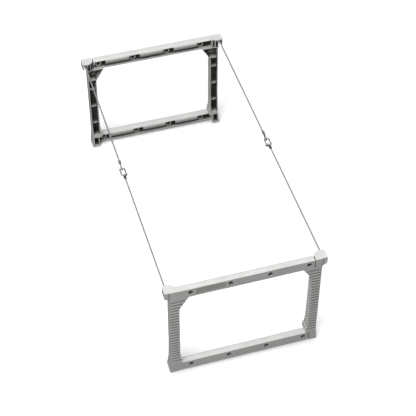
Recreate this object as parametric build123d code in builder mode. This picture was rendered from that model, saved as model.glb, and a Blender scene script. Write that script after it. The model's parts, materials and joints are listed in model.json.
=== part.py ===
"""Two moulded end frames joined by a taut wire rope on each side, coupled at mid length.

Millimetres, +Z up. The origin is on the floor, midway between the frames. X runs along the
rails and Y from the front frame (-Y) to the rear frame (+Y). The rear frame is the front one
turned half round about Z, and the left rope (-X) is the right one mirrored.
"""
from build123d import *
import os
from math import atan2, cos, floor

os.makedirs("parts", exist_ok=True)

# Overall sizes
OVERALL_LENGTH = 868.0
FRAME_WIDTH = 400.0
FRAME_HEIGHT = 307.0

# Walls and clearances
WALL = 2.4
TOP_WALL = 3.2
PLUG_CLEARANCE = 0.15
PIN_CLEARANCE = 0.02
RUNNING_CLEARANCE = 0.08

# Rails: a hollow bead that stands on a ledge along its inner side
RAIL_DEPTH = 20.0
TOP_RAIL_HEIGHT = 27.8
BOTTOM_RAIL_TOP = 31.0
BOTTOM_RAIL_LIFT = 3.2
RAIL_TOP_STEP = 0.8
BEAD_RADIUS = 7.0
BEAD_FOOT_DEPTH = 9.0
LEDGE_HEIGHT = 3.8
SEAM_GAP = 2.8

# Fixing holes through both rails of a frame, and the windows that their bosses stand in
HOLE_DIAMETER = 11.5
HOLE_COUNT = 4
HOLE_LEFT_MARGIN = 33.8
HOLE_RIGHT_MARGIN = 13.4
BOSS_WALL = 2.5
BOSS_LENGTH = 16.4
TOP_HOLE_DROP = 12.6
BOTTOM_HOLE_HEIGHT = 19.0
WINDOW_LEFT = 20.0
WINDOW_RIGHT = 10.0
WINDOW_DROP = 3.0

# Blank label plate, sunk into the top rail between its first two holes
LABEL_HOLE_GAP = 8.05
LABEL_EDGE = 3.5
LABEL_SEAT_DEPTH = 1.4
LABEL_THICKNESS = 0.6
LABEL_GAP = 0.2
LABEL_CORNER_RADIUS = 1.0

# Corner blocks
BLOCK_DEPTH = 27.6
BLOCK_SIDE_DEPTH = 24.0
BLOCK_EDGE_DEPTH = 17.0
BLOCK_BOW_PLACE = 12.3
BLOCK_CORNER_INSET = 4.4
BLOCK_CORNER_DEPTH = 23.6
BLOCK_CHAMFER_HEIGHT = 8.8
BLOCK_FACE_STEP = 0.8
POCKET_RIB = 2.4
POCKET_FLOOR = 11.0
INNER_POCKET_WIDTH = 4.4

# Posts
POST_WIDTH = 23.6
POST_DEPTH = 22.0
POST_INSET = 12.0
POST_WALL = 2.2
HAUNCH_REACH = 22.4
HAUNCH_DROP = 39.0
HAUNCH_EDGE = 2.0
WEB_THICKNESS = 2.0
WEB_PITCH = 63.0
WEB_DROP = 30.2
HAUNCH_WEB_RISE = 1.8
WEB_SETBACK = 1.5

# Grooves across the outer and window sides of the posts
GROOVE_PITCH = 10.2
GROOVE_WIDTH = 6.6
GROOVE_DEPTH = 2.0

# Feet, below the grooves
FOOT_HEIGHT = 38.0
FOOT_DEPTH = 34.0
FOOT_FLARE = 3.2
FOOT_FLARE_TOP = 116.0
FOOT_FLARE_SAG = 2.0
FOOT_STEP_WIDTH = 3.2
FOOT_STEP_HEIGHT = 51.0
FOOT_POCKET_BASE = 4.8

# Tongues that plug the rails into the posts, and their screws
TONGUE_LENGTH = 14.0
TONGUE_THICKNESS = 5.6
TONGUE_EDGE = 5.9
TONGUE_DEPTH = 6.0
SCREW_DIAMETER = 2.9
SCREW_HEAD_RIM = 1.15
SCREW_HEAD_GAP = 0.2
SCREW_HEAD_HEIGHT = 1.8
SCREW_LENGTH = 6.0
SCREW_SLOT_WIDTH = 0.8
SCREW_SLOT_DEPTH = 0.7

# Rope slot and anchor pins in the corner blocks
ROPE_SIDE_GAP = 0.9
ROPE_SLOT_FLOOR = 6.0
SLOT_WALL = 4.0
ANCHOR_DEPTH = 16.0
ANCHOR_TOP_GAP = 0.9
ANCHOR_DIAMETER = 5.0
ANCHOR_END_GAP = 0.2

# Wire ropes and their end eyes
ROPE_DIAMETER = 4.0
SHANK_WALL = 1.1
EYE_WALL = 2.4
EYE_THICKNESS = 5.0
EYE_SHANK_LENGTH = 16.0
EYE_SHANK_CHAMFER = 0.6

# Mid-length coupling: a thimble on the rear rope, held by a snap hook on the front rope
HOOK_BAR_DIAMETER = 3.8
HOOK_WIDTH = 12.0
HOOK_CORNER_RADIUS = 3.5
HOOK_LENGTH = 24.0
HOOK_TIP_LENGTH = 7.0
HUB_WALL = 1.2
HUB_LENGTH = 4.0
FERRULE_WALL = 1.4
FERRULE_LENGTH = 10.0
FERRULE_CHAMFER = 0.7
THIMBLE_THICKNESS = 3.2
THIMBLE_NOSE_WALL = 2.8
THIMBLE_BODY_WALL = 2.4
THIMBLE_BODY_OPENING = 7.6
THIMBLE_BODY_REACH = 10.0
THIMBLE_LENGTH = 20.0
THIMBLE_NECK_HEIGHT = 6.0

# Snap hook gate, its pin and its spring
GATE_GAP = 0.4
GATE_BAR_DIAMETER = 3.2
GATE_PIN_DIAMETER = 1.8
KNUCKLE_WALL = 1.6
GATE_PIVOT_SETBACK = 3.0
FORK_CHEEK = 1.3
FORK_RIM = 0.7
FORK_SLOT_GAP = 0.3
SPRING_WIRE = 0.6

# Places worked out from the sizes above
EYE_DIAMETER = ANCHOR_DIAMETER + 2 * EYE_WALL
EYE_SHANK_DIAMETER = ROPE_DIAMETER + 2 * SHANK_WALL
FERRULE_DIAMETER = ROPE_DIAMETER + 2 * FERRULE_WALL
HUB_DIAMETER = ROPE_DIAMETER + 2 * HUB_WALL
ROPE_SLOT_WIDTH = EYE_SHANK_DIAMETER + 2 * ROPE_SIDE_GAP
ANCHOR_DROP = TOP_WALL + ANCHOR_TOP_GAP + EYE_DIAMETER / 2
SCREW_HEAD_DIAMETER = SCREW_DIAMETER + 2 * SCREW_HEAD_RIM
SCREW_POCKET_WIDTH = SCREW_HEAD_DIAMETER + 2 * SCREW_HEAD_GAP
BLOCK_WIDTH = (
    WALL + INNER_POCKET_WIDTH + POCKET_RIB + SCREW_POCKET_WIDTH + POCKET_RIB + ROPE_SLOT_WIDTH + SLOT_WALL
)
THIMBLE_BODY_DIAMETER = THIMBLE_BODY_OPENING + 2 * THIMBLE_BODY_WALL
GATE_KNUCKLE_DIAMETER = GATE_PIN_DIAMETER + 2 * KNUCKLE_WALL
FORK_SLOT_HEIGHT = GATE_BAR_DIAMETER + 2 * FORK_SLOT_GAP
FORK_HEIGHT = FORK_SLOT_HEIGHT + 2 * FORK_CHEEK
FORK_RADIUS = GATE_KNUCKLE_DIAMETER / 2 + FORK_RIM
FRAME_Y = OVERALL_LENGTH / 2
BLOCK_OUT = FRAME_WIDTH / 2
BLOCK_IN = BLOCK_OUT - BLOCK_WIDTH
POST_OUT = BLOCK_OUT - POST_INSET
POST_IN = POST_OUT - POST_WIDTH
HAUNCH_TIP = POST_IN - HAUNCH_REACH
RAIL_BASE = FRAME_HEIGHT - TOP_RAIL_HEIGHT
HAUNCH_LOW = RAIL_BASE - HAUNCH_DROP
FOOT_OUT = POST_OUT + FOOT_FLARE
ROPE_X = BLOCK_OUT - SLOT_WALL - ROPE_SLOT_WIDTH / 2
ROPE_Z = FRAME_HEIGHT - ANCHOR_DROP
ANCHOR_Y = FRAME_Y - ANCHOR_DEPTH
TONGUE_HEIGHT = TOP_RAIL_HEIGHT - 2 * TONGUE_EDGE
TOP_TONGUE_Z = RAIL_BASE + TOP_RAIL_HEIGHT / 2
BOTTOM_TONGUE_Z = (BOTTOM_RAIL_LIFT + BOTTOM_RAIL_TOP) / 2
SLOT_IN = ROPE_X - ROPE_SLOT_WIDTH / 2
OUTER_POCKET_OUT = SLOT_IN - POCKET_RIB
OUTER_POCKET_IN = OUTER_POCKET_OUT - SCREW_POCKET_WIDTH
TOP_SCREW_X = (OUTER_POCKET_IN + OUTER_POCKET_OUT) / 2
FOOT_SCREW_X = (BLOCK_IN + POST_OUT) / 2
POCKET_HEIGHT = TOP_RAIL_HEIGHT - WALL - TOP_WALL
POCKET_Z = RAIL_BASE + WALL + POCKET_HEIGHT / 2
CUT_PAST = 10.0
GROOVE_COUNT = floor((RAIL_BASE - FOOT_HEIGHT) / GROOVE_PITCH)
GROOVE_HEIGHTS = [FOOT_HEIGHT + GROOVE_PITCH * (i + 0.5) for i in range(GROOVE_COUNT)]
WEB_COUNT = floor((HAUNCH_LOW - WEB_DROP - FOOT_HEIGHT) / WEB_PITCH) + 1
WEB_HEIGHTS = [HAUNCH_LOW - WEB_DROP - WEB_PITCH * i for i in range(WEB_COUNT)]
RAIL_LENGTH = 2 * BLOCK_IN - SEAM_GAP
HOLE_PITCH = (RAIL_LENGTH - HOLE_LEFT_MARGIN - HOLE_RIGHT_MARGIN) / (HOLE_COUNT - 1)
HOLE_XS = [HOLE_LEFT_MARGIN - BLOCK_IN + HOLE_PITCH * i for i in range(HOLE_COUNT)]
BOSS_DIAMETER = HOLE_DIAMETER + 2 * BOSS_WALL
TOP_HOLE_Z = FRAME_HEIGHT - TOP_HOLE_DROP
LABEL_LENGTH = HOLE_PITCH - HOLE_DIAMETER - 2 * LABEL_HOLE_GAP
LABEL_HEIGHT = TOP_RAIL_HEIGHT - RAIL_TOP_STEP - 2 * LABEL_EDGE
LABEL_X = (HOLE_XS[0] + HOLE_XS[1]) / 2
LABEL_Z = RAIL_BASE + (TOP_RAIL_HEIGHT - RAIL_TOP_STEP) / 2
FRONT_FACE = Plane.XZ.offset(FRAME_Y)


def at_depth(depth):
    """The plane parallel to the front frame's outer face, the given depth inside it."""
    return Plane.XZ.offset(FRAME_Y - depth)


def grooved_side(place, low, high, inward):
    """Draws an upright edge at one place from low to high, dipping inward at each groove."""
    reached = low
    for height in GROOVE_HEIGHTS:
        start = height - GROOVE_WIDTH / 2
        end = height + GROOVE_WIDTH / 2
        if start <= low or end >= high:
            continue
        Line((place, reached), (place, start))
        ThreePointArc((place, start), (place + inward * GROOVE_DEPTH, height), (place, end))
        reached = end
    Line((place, reached), (place, high))


# Hollow of a post: its corrugated inside, cut into cells by the webs
haunch_slope = atan2(HAUNCH_REACH, HAUNCH_DROP - HAUNCH_EDGE)
hollow_shift = POST_WALL / cos(haunch_slope)
hollow_top = RAIL_BASE - POST_WALL
hollow_low = FOOT_HEIGHT + POST_WALL
hollow_tip = HAUNCH_TIP + hollow_shift
with BuildPart() as post_hollow:
    with BuildSketch(FRONT_FACE):
        with BuildLine():
            Line((POST_IN + POST_WALL, hollow_low), (POST_OUT - POST_WALL, hollow_low))
            Line((POST_OUT - POST_WALL, hollow_low), (POST_OUT - POST_WALL, hollow_top))
            Line((POST_OUT - POST_WALL, hollow_top), (hollow_tip, hollow_top))
            Line((hollow_tip, hollow_top), (POST_IN + POST_WALL, HAUNCH_LOW))
            grooved_side(POST_IN + POST_WALL, hollow_low, HAUNCH_LOW, 1)
        make_face()
    extrude(amount=-FOOT_DEPTH - CUT_PAST)
    with BuildSketch(Plane.YZ):
        with BuildLine():
            hollow_back = -FRAME_Y + POST_WALL
            hollow_open = -FRAME_Y + FOOT_DEPTH + CUT_PAST
            grooved_side(hollow_back, hollow_low, hollow_top, 1)
            Line((hollow_back, hollow_top), (hollow_open, hollow_top))
            Line((hollow_open, hollow_top), (hollow_open, hollow_low))
            Line((hollow_open, hollow_low), (hollow_back, hollow_low))
        make_face()
    extrude(amount=BLOCK_OUT, mode=Mode.INTERSECT)
    for web_height in [HAUNCH_LOW + HAUNCH_WEB_RISE, *WEB_HEIGHTS]:
        with BuildSketch(Plane.XY.offset(web_height)):
            with Locations((BLOCK_OUT / 2, -FRAME_Y)):
                Rectangle(BLOCK_OUT, POST_DEPTH - WEB_SETBACK, align=(Align.CENTER, Align.MIN))
        extrude(amount=-WEB_THICKNESS, mode=Mode.SUBTRACT)

# Post with its corner block and foot
with BuildPart() as front_right_post:
    with BuildSketch(FRONT_FACE):
        with BuildLine():
            Line((BLOCK_IN, 0), (FOOT_OUT, 0))
            Line((FOOT_OUT, 0), (POST_OUT, FOOT_HEIGHT))
            Line((POST_OUT, FOOT_HEIGHT), (POST_OUT, RAIL_BASE))
            Line((POST_OUT, RAIL_BASE), (HAUNCH_TIP, RAIL_BASE))
            Line((HAUNCH_TIP, RAIL_BASE), (HAUNCH_TIP, RAIL_BASE - HAUNCH_EDGE))
            Line((HAUNCH_TIP, RAIL_BASE - HAUNCH_EDGE), (POST_IN, HAUNCH_LOW))
            grooved_side(POST_IN, FOOT_STEP_HEIGHT, HAUNCH_LOW, 1)
            step_in = POST_IN - FOOT_STEP_WIDTH
            Line((POST_IN, FOOT_STEP_HEIGHT), (step_in, FOOT_STEP_HEIGHT))
            Line((step_in, FOOT_STEP_HEIGHT), (step_in, BOTTOM_RAIL_TOP))
            Line((step_in, BOTTOM_RAIL_TOP), (BLOCK_IN, BOTTOM_RAIL_TOP))
            Line((BLOCK_IN, BOTTOM_RAIL_TOP), (BLOCK_IN, 0))
        make_face()
    extrude(amount=-FOOT_DEPTH)
    with BuildSketch(Plane.YZ):
        with BuildLine():
            flare_foot = (-FRAME_Y + FOOT_DEPTH, 0)
            flare_head = (-FRAME_Y + POST_DEPTH, FOOT_FLARE_TOP)
            flare_middle = (-FRAME_Y + (FOOT_DEPTH + POST_DEPTH) / 2 - FOOT_FLARE_SAG, FOOT_FLARE_TOP / 2)
            Line((-FRAME_Y, 0), (-FRAME_Y, FOOT_HEIGHT))
            grooved_side(-FRAME_Y, FOOT_HEIGHT, RAIL_BASE, 1)
            Line((-FRAME_Y, RAIL_BASE), (-FRAME_Y + POST_DEPTH, RAIL_BASE))
            Line((-FRAME_Y + POST_DEPTH, RAIL_BASE), flare_head)
            ThreePointArc(flare_head, flare_middle, flare_foot)
            Line(flare_foot, (-FRAME_Y, 0))
        make_face()
    extrude(amount=BLOCK_OUT, mode=Mode.INTERSECT)
    # corner block, with its bowed inner edge
    with BuildSketch(Plane.XY.offset(RAIL_BASE)):
        with BuildLine():
            block_corner = (BLOCK_IN + BLOCK_CORNER_INSET, -FRAME_Y + BLOCK_CORNER_DEPTH)
            block_bow = (BLOCK_OUT - BLOCK_BOW_PLACE, -FRAME_Y + BLOCK_DEPTH)
            block_side = (BLOCK_OUT, -FRAME_Y + BLOCK_SIDE_DEPTH)
            Line((BLOCK_IN, -FRAME_Y), (BLOCK_OUT, -FRAME_Y))
            Line((BLOCK_OUT, -FRAME_Y), block_side)
            ThreePointArc(block_side, block_bow, block_corner)
            Line(block_corner, (BLOCK_IN, -FRAME_Y + BLOCK_EDGE_DEPTH))
            Line((BLOCK_IN, -FRAME_Y + BLOCK_EDGE_DEPTH), (BLOCK_IN, -FRAME_Y))
        make_face()
    extrude(amount=TOP_RAIL_HEIGHT)
    with BuildSketch(FRONT_FACE):
        with BuildLine():
            Polyline(
                (BLOCK_OUT, RAIL_BASE + BLOCK_CHAMFER_HEIGHT),
                (POST_OUT, RAIL_BASE),
                (BLOCK_OUT, RAIL_BASE),
                close=True,
            )
        make_face()
    extrude(amount=-FOOT_DEPTH, mode=Mode.SUBTRACT)
    with BuildSketch(FRONT_FACE):
        with Locations((POST_OUT, RAIL_BASE)):
            Rectangle(POST_INSET, TOP_RAIL_HEIGHT, align=(Align.MIN, Align.MIN))
    extrude(amount=-BLOCK_FACE_STEP, mode=Mode.SUBTRACT)
    # pockets open to the inner side, and the slot that the rope swings in
    with BuildSketch(at_depth(POCKET_FLOOR)):
        with Locations((BLOCK_IN + WALL, POCKET_Z)):
            Rectangle(INNER_POCKET_WIDTH, POCKET_HEIGHT, align=(Align.MIN, Align.CENTER))
        with Locations((OUTER_POCKET_IN, POCKET_Z)):
            Rectangle(SCREW_POCKET_WIDTH, POCKET_HEIGHT, align=(Align.MIN, Align.CENTER))
        with Locations((BLOCK_IN + WALL, FOOT_POCKET_BASE)):
            foot_pocket_width = POST_OUT - BLOCK_IN - 2 * WALL
            foot_pocket_height = BOTTOM_RAIL_TOP - FOOT_POCKET_BASE
            Rectangle(foot_pocket_width, foot_pocket_height, align=(Align.MIN, Align.MIN))
    extrude(amount=-FOOT_DEPTH, mode=Mode.SUBTRACT)
    with BuildSketch(at_depth(ROPE_SLOT_FLOOR)):
        with Locations((SLOT_IN, FRAME_HEIGHT - TOP_WALL)):
            Rectangle(ROPE_SLOT_WIDTH, TOP_RAIL_HEIGHT, align=(Align.MIN, Align.MAX))
    extrude(amount=-FOOT_DEPTH, mode=Mode.SUBTRACT)
    add(post_hollow.part, mode=Mode.SUBTRACT)
    # sockets for the rail tongues
    with BuildSketch(at_depth(TONGUE_DEPTH - TONGUE_THICKNESS / 2 - PLUG_CLEARANCE)):
        with Locations((BLOCK_IN, TOP_TONGUE_Z), (BLOCK_IN, BOTTOM_TONGUE_Z)):
            Rectangle(
                TONGUE_LENGTH + PLUG_CLEARANCE,
                TONGUE_HEIGHT + 2 * PLUG_CLEARANCE,
                align=(Align.MIN, Align.CENTER),
            )
    extrude(amount=-TONGUE_THICKNESS - 2 * PLUG_CLEARANCE, mode=Mode.SUBTRACT)
    # screw holes through the pocket floors, into the tongue sockets
    with BuildSketch(at_depth(TONGUE_DEPTH)):
        with Locations((TOP_SCREW_X, TOP_TONGUE_Z), (FOOT_SCREW_X, BOTTOM_TONGUE_Z)):
            Circle(SCREW_DIAMETER / 2 + PLUG_CLEARANCE)
    extrude(amount=-POCKET_FLOOR + TONGUE_DEPTH - WALL, mode=Mode.SUBTRACT)
    # bore for the anchor pin, across the rope slot
    with BuildSketch(Plane.YZ.offset(OUTER_POCKET_OUT)):
        with Locations((-ANCHOR_Y, ROPE_Z)):
            Circle(ANCHOR_DIAMETER / 2 + PIN_CLEARANCE)
    extrude(amount=BLOCK_OUT, mode=Mode.SUBTRACT)


def draw_bead(base, top):
    """Draws the outline of a rail's bead: flat outside and on top, rounded down to its inner foot."""
    outer = -FRAME_Y
    shoulder = (outer + RAIL_DEPTH, top - BEAD_RADIUS)
    foot = (outer + BEAD_FOOT_DEPTH, base + LEDGE_HEIGHT)
    Line((outer, base), (outer, top))
    Line((outer, top), (outer + RAIL_DEPTH - BEAD_RADIUS, top))
    RadiusArc((outer + RAIL_DEPTH - BEAD_RADIUS, top), shoulder, BEAD_RADIUS)
    TangentArc(shoulder, foot, tangent=(0, -1))
    Line(foot, (outer + BEAD_FOOT_DEPTH, base))
    Line((outer + BEAD_FOOT_DEPTH, base), (outer, base))


def make_rail(base, top, hole_height, tongue_height, screw_x):
    """Builds one rail of the front frame.

    Args: its lowest and highest height, the height of its holes and of its tongues, and the
    distance of the tongue screws from the middle. Returns the rail's part.
    """
    left_end = -BLOCK_IN
    right_end = RAIL_LENGTH - BLOCK_IN
    with BuildPart() as rail:
        with BuildSketch(Plane.YZ.offset(left_end)):
            with BuildLine():
                draw_bead(base, top)
            make_face()
            with Locations((-FRAME_Y, base)):
                Rectangle(RAIL_DEPTH, LEDGE_HEIGHT, align=(Align.MIN, Align.MIN))
        extrude(amount=RAIL_LENGTH)
        # hollow of the bead, closed by a wall at each end
        with BuildSketch(Plane.YZ.offset(left_end + WALL)):
            with BuildLine():
                draw_bead(base, top)
            make_face()
            offset(amount=-WALL)
        extrude(amount=RAIL_LENGTH - 2 * WALL, mode=Mode.SUBTRACT)
        # windows on the inner side, the outermost ones reaching the end walls
        with BuildSketch(at_depth(WALL)):
            for i, hole_x in enumerate(HOLE_XS):
                window_left = left_end + WALL if i == 0 else hole_x - WINDOW_LEFT
                window_right = right_end - WALL if i == HOLE_COUNT - 1 else hole_x + WINDOW_RIGHT
                with Locations((window_left, base + LEDGE_HEIGHT)):
                    Rectangle(
                        window_right - window_left,
                        top - WINDOW_DROP - base - LEDGE_HEIGHT,
                        align=(Align.MIN, Align.MIN),
                    )
        extrude(amount=-RAIL_DEPTH, mode=Mode.SUBTRACT)
        # bosses and their holes
        with BuildSketch(at_depth(WALL / 2)):
            with Locations(*[(hole_x, hole_height) for hole_x in HOLE_XS]):
                Circle(BOSS_DIAMETER / 2)
        extrude(amount=WALL / 2 - BOSS_LENGTH)
        with BuildSketch(FRONT_FACE):
            with Locations(*[(hole_x, hole_height) for hole_x in HOLE_XS]):
                Circle(HOLE_DIAMETER / 2)
        extrude(amount=-RAIL_DEPTH, mode=Mode.SUBTRACT)
        # tongues that plug into the posts, with their screw holes
        with BuildSketch(at_depth(TONGUE_DEPTH - TONGUE_THICKNESS / 2)):
            with Locations((left_end - TONGUE_LENGTH, tongue_height)):
                Rectangle(TONGUE_LENGTH, TONGUE_HEIGHT, align=(Align.MIN, Align.CENTER))
            with Locations((right_end, tongue_height)):
                Rectangle(TONGUE_LENGTH + SEAM_GAP, TONGUE_HEIGHT, align=(Align.MIN, Align.CENTER))
        extrude(amount=-TONGUE_THICKNESS)
        with BuildSketch(FRONT_FACE):
            with Locations((-screw_x, tongue_height), (screw_x, tongue_height)):
                Circle(SCREW_DIAMETER / 2 + PIN_CLEARANCE)
        extrude(amount=-RAIL_DEPTH, mode=Mode.SUBTRACT)
    return rail.part


rail_top = FRAME_HEIGHT - RAIL_TOP_STEP
with BuildPart() as front_top_rail:
    add(make_rail(RAIL_BASE, rail_top, TOP_HOLE_Z, TOP_TONGUE_Z, TOP_SCREW_X))
    # seat of the label plate
    with BuildSketch(FRONT_FACE):
        with Locations((LABEL_X, LABEL_Z)):
            Rectangle(LABEL_LENGTH, LABEL_HEIGHT)
    extrude(amount=-LABEL_SEAT_DEPTH, mode=Mode.SUBTRACT)

with BuildPart() as front_bottom_rail:
    add(
        make_rail(
            BOTTOM_RAIL_LIFT, BOTTOM_RAIL_TOP, BOTTOM_HOLE_HEIGHT, BOTTOM_TONGUE_Z, FOOT_SCREW_X
        )
    )

with BuildPart() as front_label_plate:
    with BuildSketch(at_depth(LABEL_SEAT_DEPTH)):
        with Locations((LABEL_X, LABEL_Z)):
            RectangleRounded(
                LABEL_LENGTH - 2 * LABEL_GAP, LABEL_HEIGHT - 2 * LABEL_GAP, LABEL_CORNER_RADIUS
            )
    extrude(amount=LABEL_THICKNESS)

# Screws that hold the four tongues of a frame, and its two anchor pins
with BuildPart() as front_joint_screws:
    screw_places = [
        (sign * screw_x, screw_z)
        for sign in (-1, 1)
        for screw_x, screw_z in ((TOP_SCREW_X, TOP_TONGUE_Z), (FOOT_SCREW_X, BOTTOM_TONGUE_Z))
    ]
    with BuildSketch(at_depth(POCKET_FLOOR)):
        with Locations(*screw_places):
            Circle(SCREW_HEAD_DIAMETER / 2)
    extrude(amount=-SCREW_HEAD_HEIGHT)
    with BuildSketch(at_depth(POCKET_FLOOR)):
        with Locations(*screw_places):
            Circle(SCREW_DIAMETER / 2)
    extrude(amount=SCREW_LENGTH)
    with BuildSketch(at_depth(POCKET_FLOOR + SCREW_HEAD_HEIGHT)):
        with Locations(*screw_places):
            Rectangle(SCREW_HEAD_DIAMETER, SCREW_SLOT_WIDTH)
    extrude(amount=SCREW_SLOT_DEPTH, mode=Mode.SUBTRACT)

with BuildPart() as front_anchor_pins:
    pin_low = OUTER_POCKET_OUT + ANCHOR_END_GAP
    pin_high = BLOCK_OUT - ANCHOR_END_GAP
    for pin_start in (pin_low, -pin_high):
        with BuildSketch(Plane.YZ.offset(pin_start)):
            with Locations((-ANCHOR_Y, ROPE_Z)):
                Circle(ANCHOR_DIAMETER / 2)
        extrude(amount=pin_high - pin_low)

# Right rope assembly: rear rope, from the rear block's pin to the thimble at mid length
eye_end = ANCHOR_Y - EYE_SHANK_LENGTH
thimble_end = THIMBLE_LENGTH
rear_ferrule_end = thimble_end + FERRULE_LENGTH
hub_start = -HOOK_LENGTH
hub_end = hub_start - HUB_LENGTH
front_ferrule_end = hub_end - FERRULE_LENGTH
ROPE_AXIS = Plane(origin=(ROPE_X, 0, ROPE_Z), x_dir=(1, 0, 0), z_dir=(0, 1, 0))
ROPE_SIDE = Plane(origin=(ROPE_X, 0, ROPE_Z), x_dir=(0, 1, 0), z_dir=(1, 0, 0))
ROPE_LEVEL = Plane(origin=(ROPE_X, 0, ROPE_Z), x_dir=(1, 0, 0), z_dir=(0, 0, 1))

with BuildPart() as right_rear_end_eye:
    with BuildSketch(ROPE_AXIS.offset(eye_end)):
        Circle(EYE_SHANK_DIAMETER / 2)
    extrude(amount=EYE_SHANK_LENGTH)
    chamfer(right_rear_end_eye.edges().group_by(Axis.Y)[0], length=EYE_SHANK_CHAMFER)
    with BuildSketch(ROPE_SIDE):
        with Locations((ANCHOR_Y, 0)):
            Circle(EYE_DIAMETER / 2)
    extrude(amount=EYE_THICKNESS / 2, both=True)
    with BuildSketch(ROPE_SIDE):
        with Locations((ANCHOR_Y, 0)):
            Circle(ANCHOR_DIAMETER / 2 + RUNNING_CLEARANCE)
    extrude(amount=EYE_SHANK_DIAMETER, both=True, mode=Mode.SUBTRACT)

with BuildPart() as right_rear_rope:
    with BuildSketch(ROPE_AXIS.offset(rear_ferrule_end)):
        Circle(ROPE_DIAMETER / 2)
    extrude(amount=eye_end - rear_ferrule_end)

with BuildPart() as right_rear_ferrule:
    with BuildSketch(ROPE_AXIS.offset(thimble_end)):
        Circle(FERRULE_DIAMETER / 2)
    extrude(amount=FERRULE_LENGTH)
    chamfer(right_rear_ferrule.edges(), length=FERRULE_CHAMFER)

with BuildPart() as right_thimble:
    nose_radius = HOOK_BAR_DIAMETER / 2 + RUNNING_CLEARANCE
    with BuildSketch(ROPE_SIDE):
        Circle(nose_radius + THIMBLE_NOSE_WALL)
        with Locations((THIMBLE_BODY_REACH, 0)):
            Circle(THIMBLE_BODY_DIAMETER / 2)
        with Locations((THIMBLE_LENGTH, 0)):
            Rectangle(FERRULE_CHAMFER, THIMBLE_NECK_HEIGHT, align=(Align.MAX, Align.CENTER))
        make_hull()
        Circle(nose_radius, mode=Mode.SUBTRACT)
        with Locations((THIMBLE_BODY_REACH, 0)):
            Circle(THIMBLE_BODY_OPENING / 2, mode=Mode.SUBTRACT)
        with BuildLine():
            Polyline(
                (0, nose_radius),
                (THIMBLE_BODY_REACH, THIMBLE_BODY_OPENING / 2),
                (THIMBLE_BODY_REACH, -THIMBLE_BODY_OPENING / 2),
                (0, -nose_radius),
                close=True,
            )
        make_face(mode=Mode.SUBTRACT)
    extrude(amount=THIMBLE_THICKNESS / 2, both=True)

# Front rope, from the snap hook at mid length to the front block's pin
hook_side = HOOK_WIDTH / 2
gate_pivot = (-hook_side, -HOOK_LENGTH + GATE_PIVOT_SETBACK)
gate_tip_y = -HOOK_TIP_LENGTH - GATE_GAP
with BuildPart() as right_snap_hook:
    with BuildLine(ROPE_LEVEL):
        FilletPolyline(
            (-hook_side, -HOOK_TIP_LENGTH),
            (-hook_side, 0),
            (hook_side, 0),
            (hook_side, -HOOK_LENGTH),
            (-hook_side / 2, -HOOK_LENGTH),
            radius=HOOK_CORNER_RADIUS,
        )
    with BuildSketch(ROPE_AXIS.offset(-HOOK_TIP_LENGTH)):
        with Locations((-hook_side, 0)):
            Circle(HOOK_BAR_DIAMETER / 2)
    sweep()
    # fork that carries the gate
    with BuildSketch(ROPE_LEVEL.offset(-FORK_HEIGHT / 2)):
        with Locations(gate_pivot, (-hook_side / 2, -HOOK_LENGTH)):
            Circle(FORK_RADIUS)
        make_hull()
    extrude(amount=FORK_HEIGHT)
    with BuildSketch(ROPE_LEVEL.offset(-FORK_SLOT_HEIGHT / 2)):
        with Locations(gate_pivot):
            Circle(GATE_KNUCKLE_DIAMETER / 2 + 2 * PLUG_CLEARANCE)
            Rectangle(
                GATE_KNUCKLE_DIAMETER + 4 * PLUG_CLEARANCE,
                FORK_RADIUS + GATE_GAP,
                align=(Align.CENTER, Align.MIN),
            )
            Rectangle(
                FORK_RADIUS + GATE_GAP,
                GATE_KNUCKLE_DIAMETER / 2 + FORK_RADIUS,
                align=(Align.MAX, Align.CENTER),
            )
    extrude(amount=FORK_SLOT_HEIGHT, mode=Mode.SUBTRACT)
    with BuildSketch(ROPE_LEVEL.offset(-FORK_HEIGHT / 2)):
        with Locations(gate_pivot):
            Circle(GATE_PIN_DIAMETER / 2 + PIN_CLEARANCE)
    extrude(amount=FORK_HEIGHT, mode=Mode.SUBTRACT)
    # hub that the front ferrule meets
    with BuildSketch(ROPE_AXIS.offset(hub_end)):
        Circle(HUB_DIAMETER / 2)
    extrude(amount=HUB_LENGTH)

with BuildPart() as right_snap_gate:
    with BuildSketch(ROPE_AXIS.offset(gate_pivot[1])):
        with Locations((gate_pivot[0], 0)):
            Circle(GATE_BAR_DIAMETER / 2)
    extrude(amount=gate_tip_y - gate_pivot[1])
    with BuildSketch(ROPE_LEVEL.offset(-FORK_SLOT_HEIGHT / 2 + PLUG_CLEARANCE)):
        with Locations(gate_pivot):
            Circle(GATE_KNUCKLE_DIAMETER / 2)
    extrude(amount=FORK_SLOT_HEIGHT / 2)
    with BuildSketch(ROPE_LEVEL):
        with Locations(gate_pivot):
            Circle(GATE_KNUCKLE_DIAMETER / 2 + PLUG_CLEARANCE)
    extrude(amount=FORK_SLOT_HEIGHT, mode=Mode.SUBTRACT)
    with BuildSketch(ROPE_LEVEL.offset(-FORK_HEIGHT / 2)):
        with Locations(gate_pivot):
            Circle(GATE_PIN_DIAMETER / 2 + RUNNING_CLEARANCE)
    extrude(amount=FORK_HEIGHT, mode=Mode.SUBTRACT)

with BuildPart() as right_gate_pin:
    with BuildSketch(ROPE_LEVEL.offset(-FORK_HEIGHT / 2)):
        with Locations(gate_pivot):
            Circle(GATE_PIN_DIAMETER / 2)
    extrude(amount=FORK_HEIGHT)

with BuildPart() as right_gate_spring:
    with BuildSketch(ROPE_LEVEL.offset(PLUG_CLEARANCE)):
        with Locations(gate_pivot):
            Circle(GATE_PIN_DIAMETER / 2 + RUNNING_CLEARANCE + SPRING_WIRE)
            Circle(GATE_PIN_DIAMETER / 2 + RUNNING_CLEARANCE, mode=Mode.SUBTRACT)
    extrude(amount=FORK_SLOT_HEIGHT / 2 - 2 * PLUG_CLEARANCE)

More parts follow.
